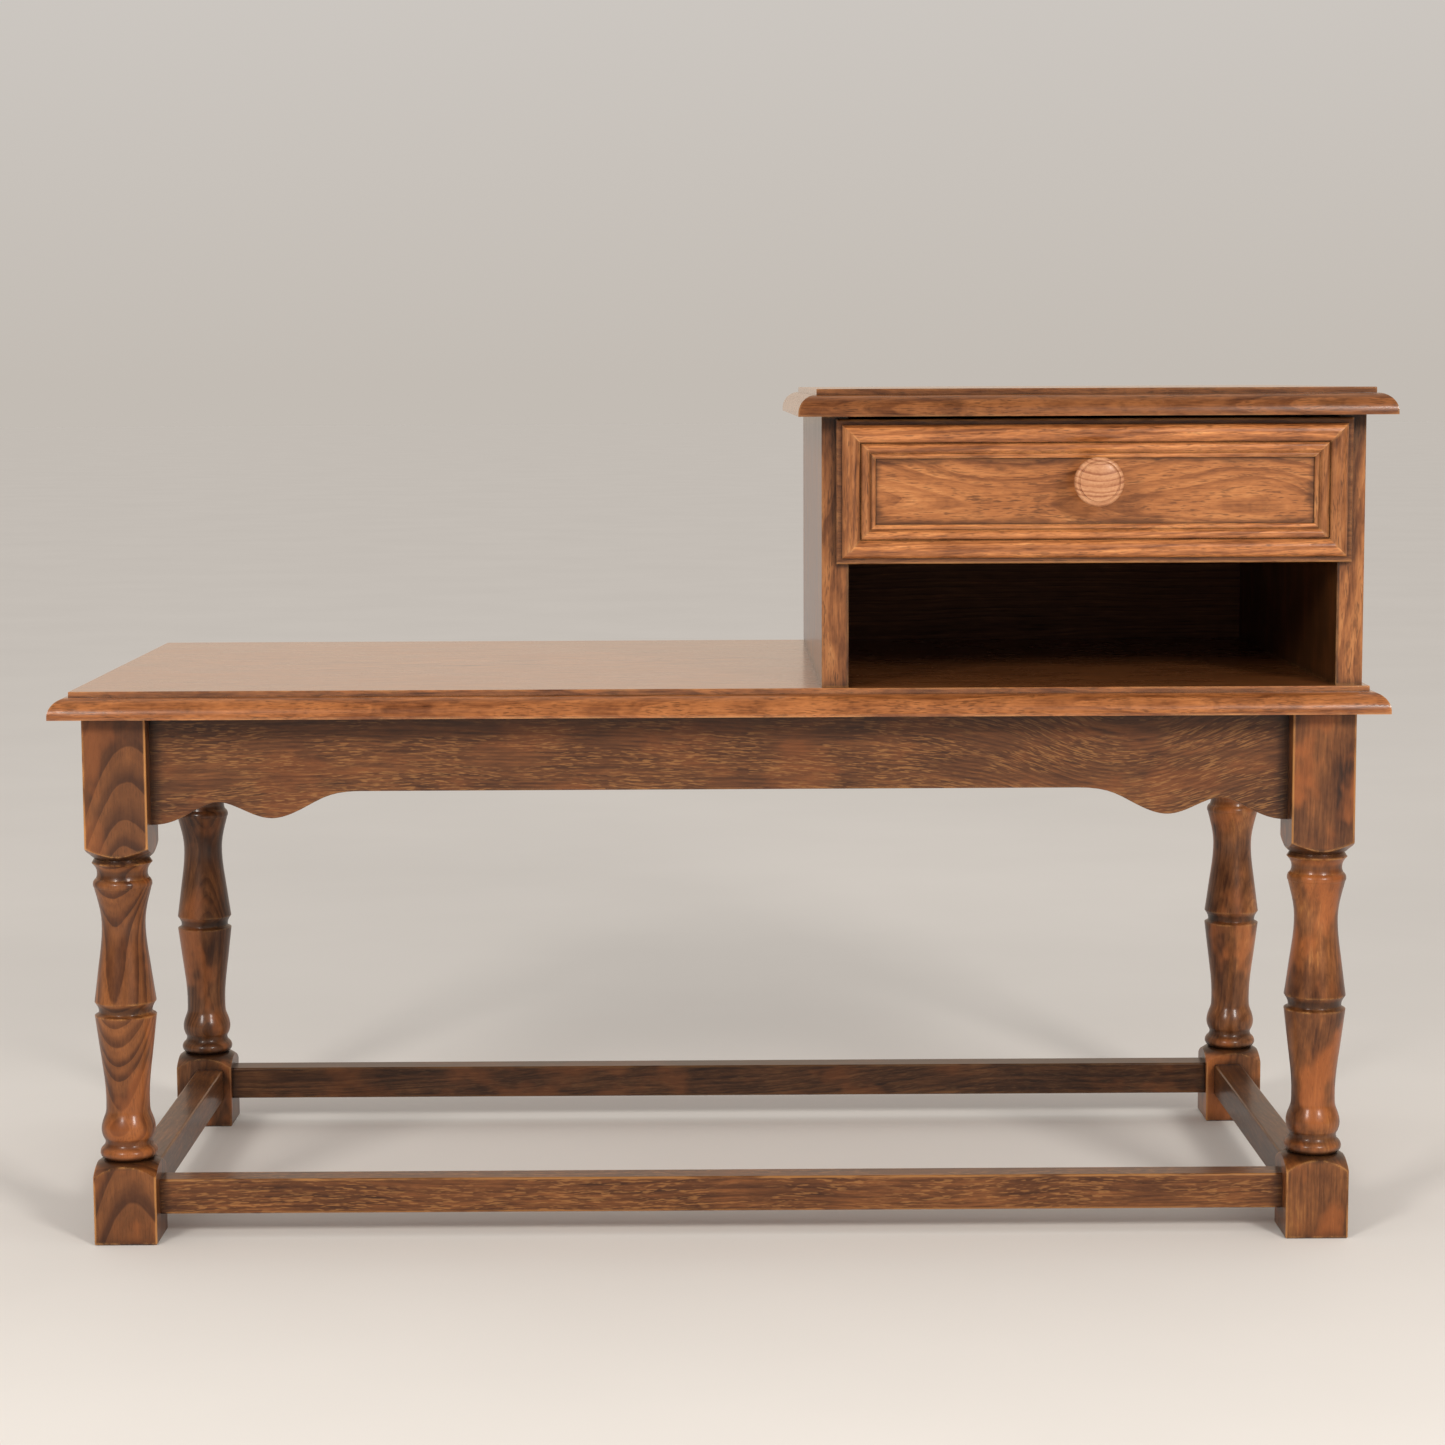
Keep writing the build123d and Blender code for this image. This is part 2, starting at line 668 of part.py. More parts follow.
# ------------------------------------------------------------------ cabinet
def make_cabinet_side(name, right):
    """A side board, grooved for the shelf and rebated for the back panel."""
    outer = cabinet_right if right else cabinet_left
    inward = -1 if right else 1
    inner = outer + inward * board_thickness
    groove = inner - inward * shelf_groove
    lap = inner - inward * back_rebate
    with BuildPart() as side:
        add_board(min(outer, inner), max(outer, inner), leg_front, leg_rear,
                  seat_height, cabinet_top_under)
        fillet(side.faces().sort_by(Axis.Y)[0].edges().filter_by(Axis.Z), side_arris)
        add_board(min(inner, groove), max(inner, groove), leg_front + shelf_setback, leg_rear,
                  shelf_under, shelf_top, mode=Mode.SUBTRACT)
        add_board(min(inner, lap), max(inner, lap), back_face, leg_rear,
                  seat_height, cabinet_top_under, mode=Mode.SUBTRACT)
        cut_screw_holes(cabinet_screw_places(), cabinet_screw_length)
        with Locations(*cabinet_dowel_places()):
            Cylinder(dowel_radius + glue_gap, dowel_length + end_gap,
                     align=(Align.CENTER, Align.CENTER, Align.MIN), mode=Mode.SUBTRACT)
        cut_pin_holes(back_pin_places(), pin_length)
    write(side.part, name)


make_cabinet_side("cabinet_left_side", right=False)
make_cabinet_side("cabinet_right_side", right=True)

with BuildPart() as cabinet_shelf:
    reach = shelf_groove - panel_gap
    add_board(inner_left - reach, inner_right + reach, leg_front + shelf_setback, back_face,
              shelf_under, shelf_top)
write(cabinet_shelf.part, "cabinet_shelf")

with BuildPart() as cabinet_back:
    lap = back_rebate - panel_gap
    add_board(inner_left - lap, inner_right + lap, back_face, leg_rear,
              seat_height, cabinet_top_under - panel_gap)
    cut_pin_holes(back_pin_places(), pin_length)
write(cabinet_back.part, "cabinet_back")

with BuildPart() as back_pins:
    add_pins(back_pin_places(), pin_length)
write(back_pins.part, "back_pins")

with BuildPart() as cabinet_screws:
    add_screws(cabinet_screw_places(), cabinet_screw_length)
write(cabinet_screws.part, "cabinet_screws")

with BuildPart() as cabinet_dowels:
    with Locations(*cabinet_dowel_places()):
        Cylinder(dowel_radius, dowel_length, align=(Align.CENTER, Align.CENTER, Align.MIN))
write(cabinet_dowels.part, "cabinet_dowels")


# ------------------------------------------------------------------ drawer front
front_left = cabinet_middle - front_width / 2
front_right = cabinet_middle + front_width / 2

with BuildPart() as drawer_front:
    add_board(front_left, front_right, front_board_face, front_back_face,
              front_bottom, front_top)
    fillet(drawer_front.faces().sort_by(Axis.Y)[0].edges(), front_board_round)
    cut_screw_holes(front_screw_places(), front_screw_length)
    cut_screw_holes([knob_screw_place()], box_board_thickness + front_board_thickness)
write(drawer_front.part, "drawer_front")


def draw_moulding_section():
    """Section of the planted mouldings: a broad band, a bead and a small fillet."""
    edge = moulding_width
    Line((0, 0), (0, band_foot_height))
    Spline((0, band_foot_height), band_crown, band_edge, tangents=((0.3, 1), (1, -0.9)))
    Line(band_edge, bead_foot)
    ThreePointArc(bead_foot, bead_crown, bead_edge)
    Line(bead_edge, fillet_foot)
    ThreePointArc(fillet_foot, fillet_crown, (edge, inner_edge_height))
    Polyline((edge, inner_edge_height), (edge, 0), (0, 0))


def make_front_moulding(side, corner, run, inward, length):
    """One mitred moulding on the front board.

    It starts at a corner of the moulded frame and runs anticlockwise seen from the front;
    run and inward are its directions along the edge and towards the middle of the front.
    """
    width = moulding_width
    with BuildPart() as strip:
        with BuildSketch(Plane(origin=corner, x_dir=inward, z_dir=run)):
            with BuildLine():
                draw_moulding_section()
            make_face()
        extrude(amount=length)
        with BuildSketch(Plane(origin=corner, x_dir=run, z_dir=to_front)):
            with BuildLine():
                Polyline((0, 0), (length, 0), (length - width, width), (width, width),
                         close=True)
            make_face()
        extrude(amount=2 * moulding_thickness, mode=Mode.INTERSECT)
    write(strip.part, f"drawer_moulding_{side}")


frame_left = front_left + lip_width
frame_right = front_right - lip_width
frame_bottom = front_bottom + lip_width
frame_top = front_top - lip_width
frame_width = frame_right - frame_left
frame_height = frame_top - frame_bottom

make_front_moulding("bottom", (frame_left, front_board_face, frame_bottom), to_right, upwards,
                    frame_width)
make_front_moulding("right", (frame_right, front_board_face, frame_bottom), upwards, to_left,
                    frame_height)
make_front_moulding("top", (frame_right, front_board_face, frame_top), to_left, downwards,
                    frame_width)
make_front_moulding("left", (frame_left, front_board_face, frame_top), downwards, to_right,
                    frame_height)


# ------------------------------------------------------------------ drawer box
sides_front = front_back_face + box_board_thickness
sides_inner_left = box_left + box_board_thickness
sides_inner_right = box_right - box_board_thickness
bottom_under = box_under + box_bottom_lift


def cut_bottom_groove():
    """The groove that runs round the inside of the box and holds its bottom."""
    depth = box_groove_depth
    add_board(sides_inner_left - depth, sides_inner_right + depth, sides_front - depth,
              box_rear - box_board_thickness + depth, bottom_under,
              bottom_under + box_bottom_thickness, mode=Mode.SUBTRACT)


def make_box_board(name, x_low, x_high, y_low, y_high):
    with BuildPart() as board:
        add_board(x_low, x_high, y_low, y_high, box_under, box_top)
        cut_bottom_groove()
        cut_pin_holes(box_pin_places(), box_pin_length)
        if y_low == front_back_face:
            cut_screw_holes(front_screw_places(), front_screw_length)
            cut_screw_holes([knob_screw_place()], box_board_thickness)
    write(board.part, name)


make_box_board("drawer_inner_front", box_left, box_right, front_back_face, sides_front)
make_box_board("drawer_left_side", box_left, sides_inner_left, sides_front, box_rear)
make_box_board("drawer_right_side", sides_inner_right, box_right, sides_front, box_rear)
make_box_board("drawer_back", sides_inner_left, sides_inner_right,
               box_rear - box_board_thickness, box_rear)

with BuildPart() as drawer_bottom:
    reach = box_groove_depth - panel_gap
    add_board(sides_inner_left - reach, sides_inner_right + reach, sides_front - reach,
              box_rear - box_board_thickness + reach, bottom_under,
              bottom_under + box_bottom_thickness)
write(drawer_bottom.part, "drawer_bottom")

with BuildPart() as drawer_box_pins:
    add_pins(box_pin_places(), box_pin_length)
write(drawer_box_pins.part, "drawer_box_pins")

with BuildPart() as drawer_front_screws:
    add_screws(front_screw_places(), front_screw_length)
write(drawer_front_screws.part, "drawer_front_screws")


# ------------------------------------------------------------------ knob
def draw_knob():
    """Half outline of the knob: radius along x, distance from the front board along y."""
    face = knob_length - knob_dome
    rim = face - knob_rim_depth
    foot = (knob_base_radius, knob_base_height)
    edge = (knob_radius, rim)
    outer = (knob_groove_radius + knob_groove_half, face + knob_groove_outer_rise)
    inner = (knob_groove_radius - knob_groove_half, face + knob_groove_inner_rise)
    Polyline((0, 0), (knob_base_radius, 0), foot)
    Spline(foot, (knob_neck_radius, knob_neck_height),
           (knob_radius - knob_shoulder_cut, knob_shoulder_height), edge,
           tangents=((-0.6, 0.5), (0, 1)))
    ThreePointArc(edge, (knob_radius - knob_rim_cut, rim + knob_rim_rise), outer)
    ThreePointArc(outer, (knob_groove_radius, face - knob_groove_depth), inner)
    Spline(inner, (0, knob_length), tangents=((-1, 0.22), (-1, 0)))
    Line((0, knob_length), (0, 0))


knob_z = front_middle + knob_lift
with BuildPart() as drawer_knob:
    with BuildSketch(Plane(origin=(cabinet_middle, front_board_face, knob_z),
                           x_dir=to_right, z_dir=downwards)):
        with BuildLine():
            draw_knob()
        make_face()
    revolve(axis=Axis((cabinet_middle, front_board_face, knob_z), to_front))
    cut_screw_holes([knob_screw_place()],
                    box_board_thickness + front_board_thickness + knob_screw_bite)
write(drawer_knob.part, "drawer_knob")

with BuildPart() as knob_screw:
    add_screws([knob_screw_place()],
               box_board_thickness + front_board_thickness + knob_screw_bite)
write(knob_screw.part, "knob_screw")
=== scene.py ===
"""Entryway bench: wood, lacquer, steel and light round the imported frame."""
import math
from types import SimpleNamespace

import bpy
import numpy as np
from mathutils import Matrix, Vector


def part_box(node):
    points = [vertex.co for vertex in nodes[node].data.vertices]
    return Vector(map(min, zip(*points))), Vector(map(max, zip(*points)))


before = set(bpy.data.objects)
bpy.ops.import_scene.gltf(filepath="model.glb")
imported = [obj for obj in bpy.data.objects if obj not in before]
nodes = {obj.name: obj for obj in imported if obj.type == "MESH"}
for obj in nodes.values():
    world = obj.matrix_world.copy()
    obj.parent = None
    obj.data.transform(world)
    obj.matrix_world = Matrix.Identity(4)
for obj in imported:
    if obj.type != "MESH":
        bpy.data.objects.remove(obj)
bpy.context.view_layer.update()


# ------------------------------------------------------------------ colours
def tint(red, green, blue):
    """A display colour, 0 to 255, as the linear numbers that a shader takes."""
    shares = np.array([red, green, blue]) / 255
    linear = np.where(shares <= 0.04045, shares / 12.92, ((shares + 0.055) / 1.055) ** 2.4)
    return (*linear.tolist(), 1.0)


# ------------------------------------------------------------------ shader bench
class Finish:
    """One material under construction: adds nodes and joins them."""

    def __init__(self, name):
        self.material = bpy.data.materials.new(name)
        self.material.use_nodes = True
        self.tree = self.material.node_tree
        self.tree.nodes.clear()

    def add(self, kind, inputs=(), **settings):
        """A node with its settings and inputs; an input is a number, a colour or another socket."""
        node = self.tree.nodes.new(kind)
        for key, value in settings.items():
            setattr(node, key, value)
        for key, value in dict(inputs).items():
            if isinstance(value, bpy.types.NodeSocket):
                self.tree.links.new(value, node.inputs[key])
            else:
                node.inputs[key].default_value = value
        return node

    def math(self, operation, first, second=0.0, third=0.0):
        """One sum, product or comparison."""
        return self.add("ShaderNodeMath", {0: first, 1: second, 2: third},
                        operation=operation).outputs[0]

    def total(self, *terms):
        """All terms added up."""
        result = terms[0]
        for term in terms[1:]:
            result = self.math("ADD", result, term)
        return result

    def product(self, *factors):
        """All factors multiplied."""
        result = factors[0]
        for factor in factors[1:]:
            result = self.math("MULTIPLY", result, factor)
        return result

    def swing(self, pattern, amount):
        """A pattern round one half, turned into plus and minus half the amount."""
        return self.math("MULTIPLY", self.math("SUBTRACT", pattern, 0.5), amount)

    def step(self, value, low, high, start=0.0, end=1.0):
        """start below low, end above high, and a smooth slope between."""
        node = self.add("ShaderNodeMapRange", {"Value": value, "From Min": low, "From Max": high,
                                               "To Min": start, "To Max": end},
                        interpolation_type="SMOOTHSTEP")
        return node.outputs[0]

    def join(self, x, y, z):
        """Three numbers as one place."""
        return self.add("ShaderNodeCombineXYZ", {0: x, 1: y, 2: z}).outputs[0]

    def scaled(self, place, x, y, z, seed=0.0):
        """A place stretched along each axis and shifted to another part of the pattern."""
        node = self.add("ShaderNodeMapping", {"Vector": place, "Scale": (x, y, z),
                                              "Location": (seed, seed * 1.7, seed * 2.3)})
        return node.outputs[0]

    def noise(self, place, detail=2.0, roughness=0.5, output=0):
        """Soft random pattern; its features are about as large as one unit of place."""
        node = self.add("ShaderNodeTexNoise", {"Vector": place, "Scale": 1.0, "Detail": detail,
                                               "Roughness": roughness})
        return node.outputs[output]

    def ramp(self, value, stops):
        """Colour for each value; stops are (place, colour) pairs."""
        node = self.add("ShaderNodeValToRGB", {"Fac": value})
        band = node.color_ramp
        band.elements[0].position, band.elements[0].color = stops[0]
        band.elements[1].position, band.elements[1].color = stops[-1]
        for place, colour in stops[1:-1]:
            band.elements.new(place).color = colour
        return node.outputs["Color"]

    def mix(self, share, first, second, blend_type="MIX"):
        """Second colour laid over the first, as much as share says."""
        node = self.add("ShaderNodeMix", {0: share, 6: first, 7: second}, data_type="RGBA",
                        blend_type=blend_type)
        return node.outputs[2]

    def done(self, **inputs):
        """The surface shader, with what the names say on its sockets."""
        named = {key.replace("_", " "): value for key, value in inputs.items()}
        shader = self.add("ShaderNodeBsdfPrincipled", named)
        out = self.add("ShaderNodeOutputMaterial")
        self.tree.links.new(shader.outputs[0], out.inputs[0])
        return self.material


# ------------------------------------------------------------------ wood
BEECH = {"stops": [(0.0, tint(40, 20, 10)), (0.3, tint(84, 46, 23)), (0.6, tint(120, 72, 40)),
                   (0.85, tint(152, 94, 54)), (1.0, tint(176, 116, 68))],
         "ring": 0.0036, "streak": 0.4, "pores": 0.25, "blotch": 0.6, "gloss": 0.34,
         "flame": 0.0, "char": tint(62, 32, 15), "coat": 0.3, "cast": (1.0, 0.96, 0.78)}
OAK = {"stops": [(0.0, tint(58, 28, 13)), (0.3, tint(118, 66, 34)), (0.6, tint(160, 96, 52)),
                 (0.85, tint(182, 112, 62)), (1.0, tint(196, 128, 76))],
       "ring": 0.0042, "streak": 0.22, "pores": 0.55, "blotch": 0.4, "gloss": 0.22,
       "flame": 0.55, "char": tint(70, 36, 16), "coat": 0.8, "cast": (1.0, 1.03, 1.04)}
GOLDEN = {"stops": [(0.0, tint(64, 33, 15)), (0.3, tint(126, 73, 38)), (0.6, tint(172, 107, 60)),
                    (0.85, tint(196, 129, 76)), (1.0, tint(214, 151, 96))],
          "ring": 0.0046, "streak": 0.22, "pores": 0.55, "blotch": 0.4, "gloss": 0.3,
          "flame": 0.5, "char": tint(94, 52, 24), "coat": 0.5, "cast": (1.0, 1.0, 0.97)}
RAW = {"stops": [(0.0, tint(150, 92, 60)), (0.35, tint(184, 126, 88)), (0.7, tint(202, 146, 106)),
                 (1.0, tint(216, 166, 126))],
       "ring": 0.0030, "streak": 0.5, "pores": 0.1, "blotch": 0.2, "gloss": 0.42,
       "flame": 0.1, "char": tint(120, 70, 40), "coat": 0.2, "cast": (1.0, 1.0, 0.98)}
BOX = {"stops": [(0.0, tint(130, 88, 54)), (0.35, tint(166, 124, 80)), (0.7, tint(184, 144, 98)),
                 (1.0, tint(198, 160, 114))],
       "ring": 0.0034, "streak": 0.4, "pores": 0.25, "blotch": 0.2, "gloss": 0.6,
       "flame": 0.1, "char": tint(90, 56, 30), "coat": 0.0, "cast": (1.0, 1.0, 1.0)}
DARK = {"stops": [(0.0, tint(30, 17, 11)), (0.35, tint(48, 29, 18)), (0.7, tint(60, 37, 24)),
                  (1.0, tint(76, 48, 30))],
        "ring": 0.0050, "streak": 0.3, "pores": 0.2, "blotch": 0.3, "gloss": 0.55,
        "flame": 0.2, "char": tint(30, 17, 10), "coat": 0.0, "cast": (1.0, 1.0, 1.0)}


# Painted shade with grime: the colour that ambient occlusion lays in hollows and against
# neighbouring parts.
DIRT_AND_SHADE = tint(30, 15, 8)
# Colour of darkening towards one end of an axis: painted shadow under the seat and the cabinet top,
# painted shade beside the legs and inside the compartment, and darkening at the feet and top blocks
# of the legs.
END_DARKENING = tint(26, 13, 7)
PANEL_DIRT = tint(46, 23, 11)
HOLLOW_STAIN = tint(30, 16, 8)
PORE = tint(48, 26, 13)
FLECK = tint(196, 138, 86)
ORANGE_BEECH = tint(206, 118, 62)
WORN_ARRIS = tint(196, 138, 84)
WORN_WOOD = tint(206, 148, 92)

# What a piece has unless its wood or its own entry in the table says otherwise.  Lengths are in
# metres, places are from the middle of the piece's box, and strengths run from 0 to 1.
USUAL = {
    "pith": (0.03, 0.06),  # middle of the growth rings, across the grain
    "lean": 0.02,          # how much the rings grow along the piece, which makes arches
    "wobble": 0.010,
    "seed": 1.0,
    "shade": 1.0,
    "swirls": (),          # (middle, radius, height) of knots that push the rings outwards
    "wear": 0.6,
    # How much hollows and gaps against neighbouring parts are darkened: painted shade, with grime.
    "grime": 0.8,
    "near": 0.010,         # how close two faces stand where painted shade and grime gather
    "fleck": 0.0,
    "rings": 1.0,
    "stains": (),          # (axis, plain at, darkest at, strength): darker towards one end of an axis, painted shade in places
    "patch": 34,           # patches to the metre
    "orange": 0.0,
    "free": None,          # half length between the shoulders of a rail
    "halo": (),            # (axis, half width) of a panel whose edges are dirty
    "coarse": 1.0,         # how broken the figure is
    "arris": 0.0,
    "bands": (),           # (place along the grain, half width, strength)
}

# Axes across the grain, then along it.
GRAIN_ORDER = {"x": (1, 2, 0), "y": (0, 2, 1), "z": (0, 1, 2)}


def grain_places(finish, name, along):
    """Place on the piece from the middle of its box, with the grain's direction last."""
    low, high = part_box(name)
    middle = (low + high) / 2
    here = finish.add("ShaderNodeTexCoord").outputs["Object"]
    local = finish.add("ShaderNodeMapping", {"Vector": here, "Location": tuple(-middle)})
    axes = finish.add("ShaderNodeSeparateXYZ", {0: local.outputs[0]}).outputs
    return [axes[k] for k in GRAIN_ORDER[along]], [axes[k] for k in range(3)]


def half_widths(name, along):
    """Half widths of the piece across the grain, in the order of grain_places."""
    low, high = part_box(name)
    return [float(high[k] - low[k]) / 2 for k in GRAIN_ORDER[along][:2]]


def swirl_height(finish, places, swirl):
    """A hill that pushes the rings outwards: height times e to the minus squared ratio of the
    distance from its middle to its radius."""
    middle, radius, height = swirl
    offsets = [finish.math("SUBTRACT", place, there) for place, there in zip(places, middle)]
    far = finish.add("ShaderNodeVectorMath", {0: finish.join(*offsets)}, operation="LENGTH")
    ratio = finish.math("DIVIDE", far.outputs["Value"], radius)
    fall = finish.math("POWER", math.e, finish.product(ratio, ratio, -1.0))
    return finish.math("MULTIPLY", fall, height)


def grow_rings(finish, own, grain, place):
    """Distance from the pith, which grows along the piece and is pushed about by slow noise and
    knots, and how far through its year's growth each place is."""
    u, v, w = grain
    slow = finish.noise(finish.scaled(place, 9, 9, 2.6, own.seed), 2.0, 0.5, 1)
    push = finish.add("ShaderNodeVectorMath", {0: slow, 1: (0.5, 0.5, 0.5)}, operation="SUBTRACT")
    push = finish.add("ShaderNodeSeparateXYZ", {0: push.outputs[0]}).outputs
    across = [finish.math("ADD", finish.math("SUBTRACT", side, from_pith),
                          finish.math("MULTIPLY", shift, own.wobble * 4))
              for side, from_pith, shift in zip((u, v), own.pith, push)]
    far = finish.add("ShaderNodeVectorMath", {0: finish.join(*across, 0.0)}, operation="LENGTH")
    radius = finish.math("ADD", far.outputs["Value"], finish.math("MULTIPLY", w, own.lean))
    for swirl in own.swirls:
        radius = finish.math("ADD", radius, swirl_height(finish, grain, swirl))
    ripple = finish.noise(finish.scaled(place, 120, 120, 45, own.seed + 2), 2.0, 0.5)
    radius = finish.math("ADD", radius, finish.math("MULTIPLY", ripple, 0.0016 * own.coarse))
    lines = finish.join(finish.math("MULTIPLY", radius, 90.0), own.seed, 0.0)
    uneven = finish.math("MULTIPLY", finish.noise(lines, 1.0), 3.0)
    phase = finish.math("ADD", finish.math("DIVIDE", radius, own.ring), uneven)
    return radius, finish.math("FRACT", phase)


def lay_figure(finish, own, place, layers, year, patches):
    """Colour of clean wood: rings, fibre, streaks and patches choose it from the wood's own
    range, then flames, pores and flecks lie over it."""
    late = finish.product(finish.step(year, 0.25, 0.9), finish.step(year, 0.94, 1.0, 1.0, 0.0))
    fibre = finish.noise(finish.scaled(place, 700, 700, 40, own.seed), 3.0, 0.65)
    streaks = finish.noise(finish.scaled(layers, 520, 200, 34, own.seed + 5), 3.0, 0.65)
    tone = finish.total(0.62, finish.math("MULTIPLY", late, -own.streak * own.rings),
                        finish.swing(fibre, 0.75 * own.coarse), finish.swing(streaks, own.coarse),
                        finish.swing(patches, 2.0 * own.blotch))
    colour = finish.ramp(tone, own.stops)
    if own.orange:
        clouds = finish.noise(finish.scaled(place, 26, 26, 15, own.seed + 41), 3.0, 0.6)
        bare = finish.math("MULTIPLY", finish.step(clouds, 0.50, 0.64), own.orange)
        colour = finish.mix(bare, colour, finish.mix(0.6, colour, ORANGE_BEECH))

    flames = finish.noise(finish.scaled(layers, 210, 120, 26, own.seed + 17), 4.0, 0.72)
    dark = finish.math("MULTIPLY", finish.step(flames, 0.54, 0.68), own.flame)
    colour = finish.mix(dark, colour, own.char)
    dashes = finish.noise(finish.scaled(place, 1300, 1300, 150, own.seed + 13), 1.0, 0.5)
    early = finish.math("MULTIPLY_ADD", finish.step(year, 0.6, 0.1), 0.65, 0.35)
    pores = finish.product(finish.step(dashes, 0.52, 0.66), early, own.pores)
    colour = finish.mix(pores, colour, PORE)
    if own.fleck:
        rays = finish.noise(finish.scaled(layers, 1300, 700, 130, own.seed + 21), 1.0, 0.5)
        where = finish.noise(finish.scaled(place, 60, 60, 16, own.seed + 23), 2.0, 0.6)
        lit = finish.product(finish.step(rays, 0.52, 0.66), finish.step(where, 0.36, 0.54),
                             own.fleck)
        colour = finish.mix(lit, colour, FLECK)
    return colour, fibre, pores


def add_dirt_and_shade(finish, own, colour, w, sides, patches):
    """Painted shade, with grime, in the hollows and against neighbours; darkening that deepens
    towards one end of an axis, which is painted shadow under the seat and the cabinet top and
    painted shade beside the legs and in the compartment; a ragged halo round a panel; and dark
    bands in turned hollows."""
    if own.grime:
        # Painted shade with grime: ambient occlusion darkens hollows and faces that stand near
        # neighbouring parts.
        hollow = finish.add("ShaderNodeAmbientOcclusion", {"Distance": own.near}, samples=4)
        dirt_and_shade_share = finish.step(hollow.outputs["AO"], 0.42, 0.93, own.grime, 0.0)
        colour = finish.mix(dirt_and_shade_share, colour, DIRT_AND_SHADE)
    # Darker towards one end of an axis: painted shadow under the seat and the cabinet top, painted
    # shade beside the legs and inside the compartment.
    for axis, plain_at, darkest_at, strength in own.stains:
        if darkest_at < plain_at:
            darkened = finish.step(sides[axis], darkest_at, plain_at, strength, 0.0)
        else:
            darkened = finish.step(sides[axis], plain_at, darkest_at, 0.0, strength)
        darkened = finish.math("MULTIPLY", darkened, finish.step(patches, 0.36, 0.58, 0.6, 1.0))
        colour = finish.mix(darkened, colour, END_DARKENING)
    if own.halo:
        inside = [finish.math("SUBTRACT", limit, finish.math("ABSOLUTE", sides[axis]))
                  for axis, limit in own.halo]
        rim = finish.math("ADD", finish.math("MINIMUM", *inside), finish.swing(patches, 0.022))
        colour = finish.mix(finish.step(rim, 0.0, 0.006, 0.55, 0.0), colour, PANEL_DIRT)
    for height, half, strength in own.bands:
        off = finish.math("ABSOLUTE", finish.math("SUBTRACT", w, height))
        darkened = finish.step(off, 0.3 * half, half, strength, 0.0)
        colour = finish.mix(darkened, colour, HOLLOW_STAIN)
    return colour


def rub_edges(finish, own, colour, grain, halves, place):
    """Stain worn off: along the long arrises of square stuff, where both faces are close by, and
    in patches on any edge that stands clear.  It stops short of a rail's shoulders."""
    u, v, w = grain
    clear = 1.0
    if own.free:
        clear = finish.step(finish.math("ABSOLUTE", w), own.free - 0.006, own.free - 0.003,
                            1.0, 0.0)
    if own.arris:
        gaps = [finish.math("SUBTRACT", half, finish.math("ABSOLUTE", side))
                for half, side in zip(halves, (u, v))]
        line = finish.step(finish.math("MAXIMUM", *gaps), 0.0007, 0.0019, 1.0, 0.0)
        scuffs = finish.noise(finish.scaled(place, 160, 160, 24, own.seed + 37), 3.0, 0.6)
        worn = finish.product(line, finish.step(scuffs, 0.36, 0.56), clear, own.arris)
        colour = finish.mix(worn, colour, WORN_ARRIS)
    if own.wear:
        edge = finish.add("ShaderNodeBevel", {"Radius": 0.0028}, samples=4)
        face = finish.add("ShaderNodeNewGeometry").outputs["Normal"]
        apart = finish.add("ShaderNodeVectorMath", {0: edge.outputs[0], 1: face},
                           operation="DOT_PRODUCT").outputs["Value"]
        convex = finish.add("ShaderNodeAmbientOcclusion", {"Distance": 0.004}, samples=3,
                            only_local=True).outputs["AO"]
        patchy = finish.noise(finish.scaled(place, 110, 110, 36, own.seed + 31), 4.0, 0.65)
        worn = finish.product(finish.step(apart, 0.90, 0.985, 1.0, 0.0),
                              finish.step(convex, 0.8, 0.97), finish.step(patchy, 0.40, 0.62),
                              own.wear, clear)
        colour = finish.mix(worn, colour, WORN_WOOD)
    return colour


def make_wood(name, look, along, **changes):
    """Solid wood in lacquer.  The figure depends only on the place in the piece, so it runs
    through it and wraps round its mouldings and turnings."""
    own = SimpleNamespace(**{**USUAL, **look, **changes})
    finish = Finish(name + "_wood")
    grain, sides = grain_places(finish, name, along)
    u, v, w = grain
    place = finish.join(u, v, w)
    radius, year = grow_rings(finish, own, grain, place)
    layers = finish.join(radius, finish.math("MULTIPLY", u, 0.35), w)
    patches = finish.noise(finish.scaled(place, own.patch, own.patch, own.patch * 0.45,
                                         own.seed + 9), 4.0, 0.62)
    colour, fibre, pores = lay_figure(finish, own, place, layers, year, patches)
    colour = add_dirt_and_shade(finish, own, colour, w, sides, patches)
    colour = rub_edges(finish, own, colour, grain, half_widths(name, along), place)
    wash = (*(own.shade * part for part in own.cast), 1.0)
    colour = finish.mix(1.0, colour, wash, "MULTIPLY")

    relief = finish.math("SUBTRACT", finish.math("MULTIPLY", fibre, 0.25), pores)
    bump = finish.add("ShaderNodeBump", {"Height": relief, "Strength": 0.12, "Distance": 0.0004})
    rough = finish.math("ADD", own.gloss, finish.math("MULTIPLY", patches, 0.12))
    return finish.done(Base_Color=colour, Roughness=rough, Normal=bump.outputs[0],
                       Specular_IOR_Level=0.25, Coat_Weight=own.coat,
                       Coat_Roughness=0.16, Coat_IOR=1.5)


def make_steel(name):
    """Plated steel, mottled and dulled by a little tarnish."""
    finish = Finish(name + "_steel")
    here = finish.add("ShaderNodeTexCoord").outputs["Object"]
    tarnish = finish.noise(finish.scaled(here, 900, 900, 900), 3.0, 0.6)
    colour = finish.ramp(tarnish, [(0.3, tint(120, 112, 100)), (0.7, tint(176, 172, 164))])
    rough = finish.step(tarnish, 0.3, 0.7, 0.45, 0.28)
    return finish.done(Base_Color=colour, Metallic=1.0, Roughness=rough)


